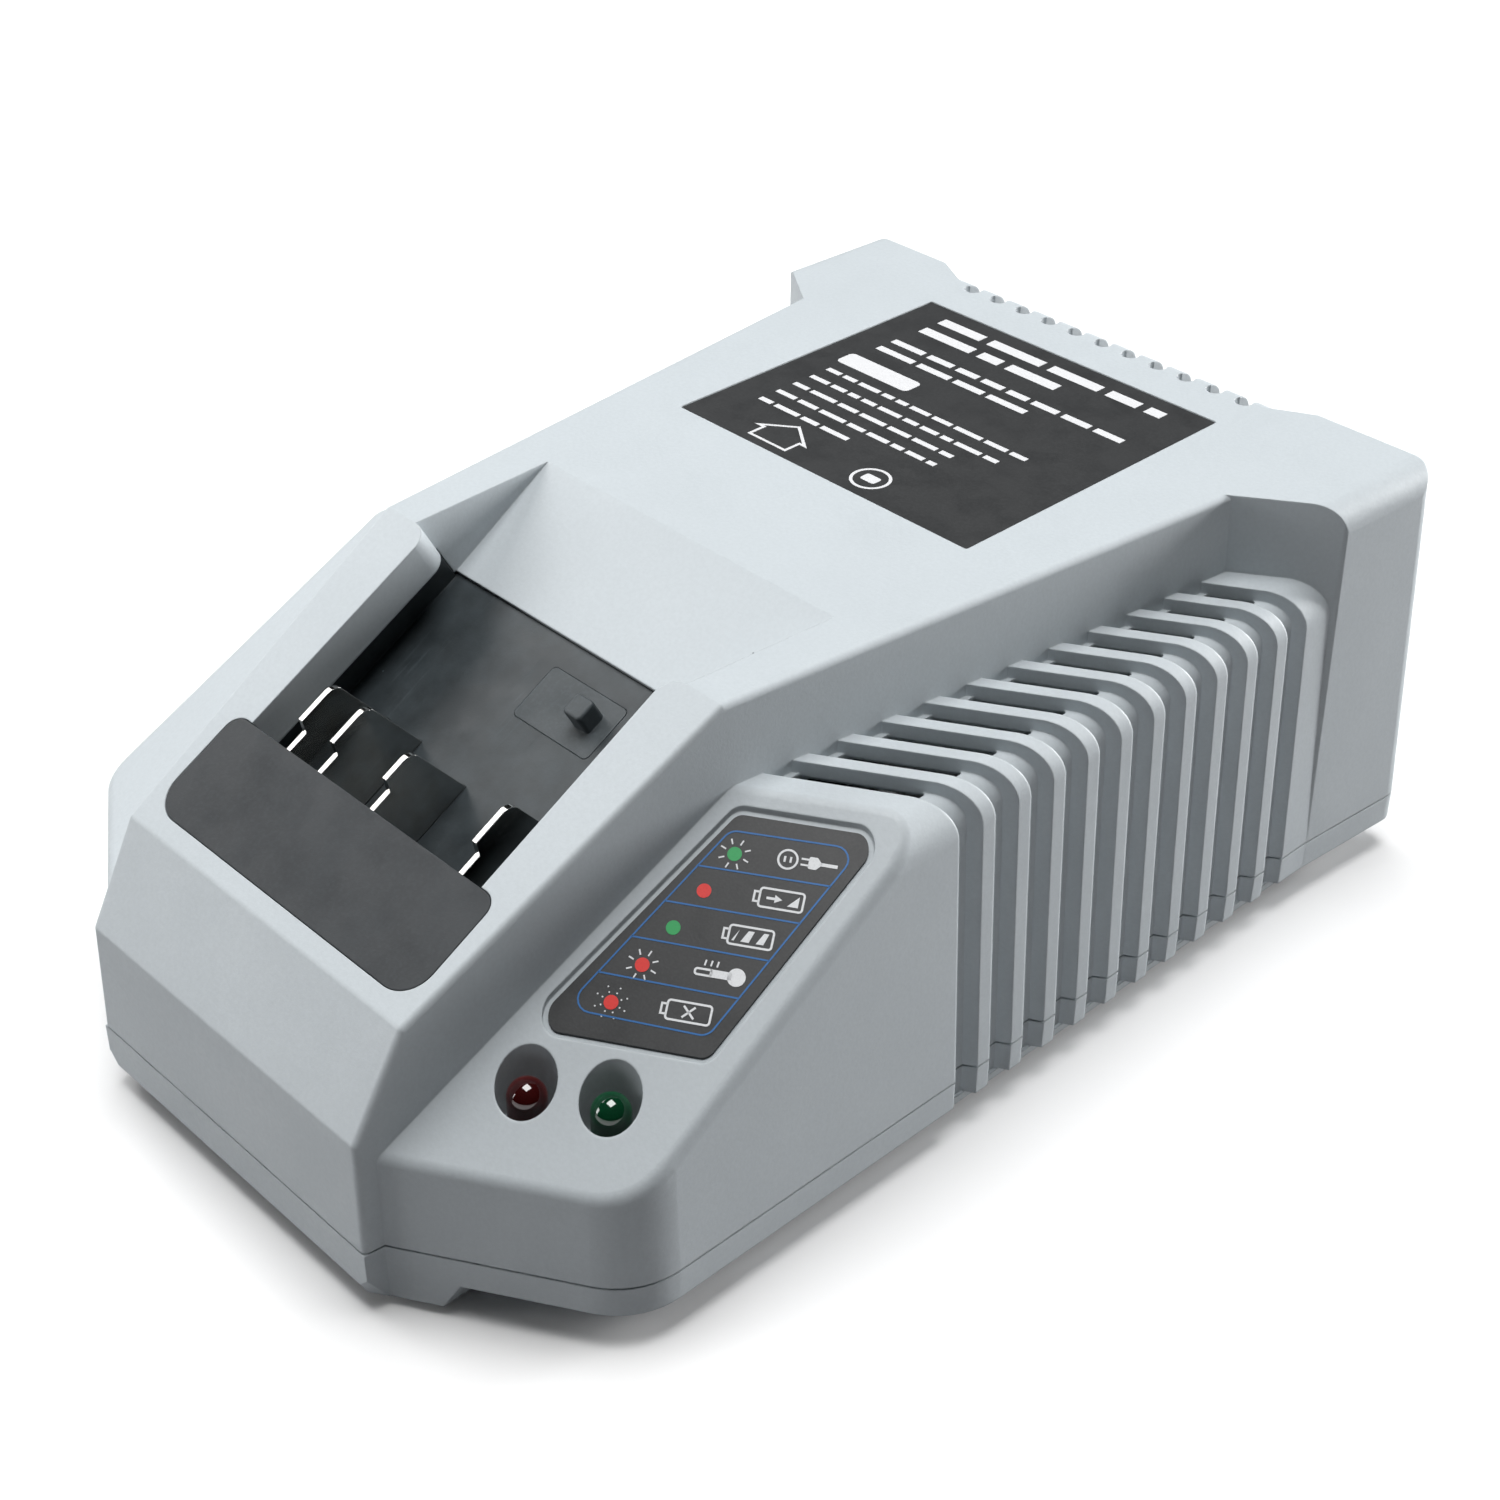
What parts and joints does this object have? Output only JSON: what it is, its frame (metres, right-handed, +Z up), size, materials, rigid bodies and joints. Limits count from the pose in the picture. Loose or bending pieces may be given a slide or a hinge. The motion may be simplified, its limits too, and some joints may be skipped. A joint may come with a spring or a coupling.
{
  "type": "power tool battery charger",
  "caption": "Table-top charger with a sloping slide-on battery bay, blade contacts, status lights, ribbed vented sides and a rear fan.",
  "frame": {"origin": "centre of the outline's box on the table", "axes": "+X to the status-light side, +Y from the nose to the back wall, +Z up"},
  "size_m": [0.1094, 0.1696, 0.0654],
  "materials": {
    "board_green": "satin",
    "bobbin_black": "satin",
    "capacitor_yellow": "gloss",
    "carrier_dark": "satin",
    "clip_tin": "satin",
    "contact_nickel": "satin",
    "copper_wire": "gloss",
    "cover_dark": "satin",
    "fan_black": "satin",
    "ferrite": "matte",
    "foot_rubber": "matte",
    "fuse_glass": "gloss",
    "gland_rubber": "matte",
    "key_plastic": "satin",
    "label_dark": "satin",
    "led_green_lens": "gloss",
    "led_red_lens": "gloss",
    "package_black": "satin",
    "screw_steel": "satin",
    "shell_grey": "satin",
    "sink_aluminium": "satin",
    "sleeve_black": "gloss",
    "sleeve_blue": "gloss",
    "tape_yellow": "satin",
    "wire_insulation": "satin"
  },
  "bodies": {
    "housing": {"bay_insert": "carrier_dark", "blade_coding": "contact_nickel", "blade_minus": "contact_nickel", "blade_plus": "contact_nickel", "blade_thermistor": "contact_nickel", "board_screws": "screw_steel", "bridge_rectifier": "package_black", "bulk_capacitor": "sleeve_black", "choke_core": "ferrite", "choke_windings": "copper_wire", "coding_key": "key_plastic", "contact_cover": "cover_dark", "contact_leads": "wire_insulation", "control_chip": "package_black", "cord_gland": "gland_rubber", "fan_frame": "fan_black", "fuse": "fuse_glass", "fuse_clips": "clip_tin", "housing_screws": "screw_steel", "led_green": "led_green_lens", "led_red": "led_red_lens", "lower_housing": "shell_grey", "main_board": "board_green", "mosfet": "package_black", "optocouplers": "package_black", "output_capacitors": "sleeve_blue", "output_diode": "package_black", "primary_heatsink": "sink_aluminium", "rating_label": "label_dark", "rubber_feet": "foot_rubber", "secondary_heatsink": "sink_aluminium", "status_label": "label_dark", "transformer_bobbin": "bobbin_black", "transformer_core": "ferrite", "transformer_winding": "tape_yellow", "upper_housing": "shell_grey", "x_capacitor": "capacitor_yellow"},
    "rotor": {"fan_rotor": "fan_black"}
  },
  "joints": [
    {"name": "fan_spin", "type": "hinge", "parent": "housing", "child": "rotor", "pos_m": [-0.00226, 0.06815, 0.036], "axis": [0, 1, 0], "continuous": true}
  ]
}
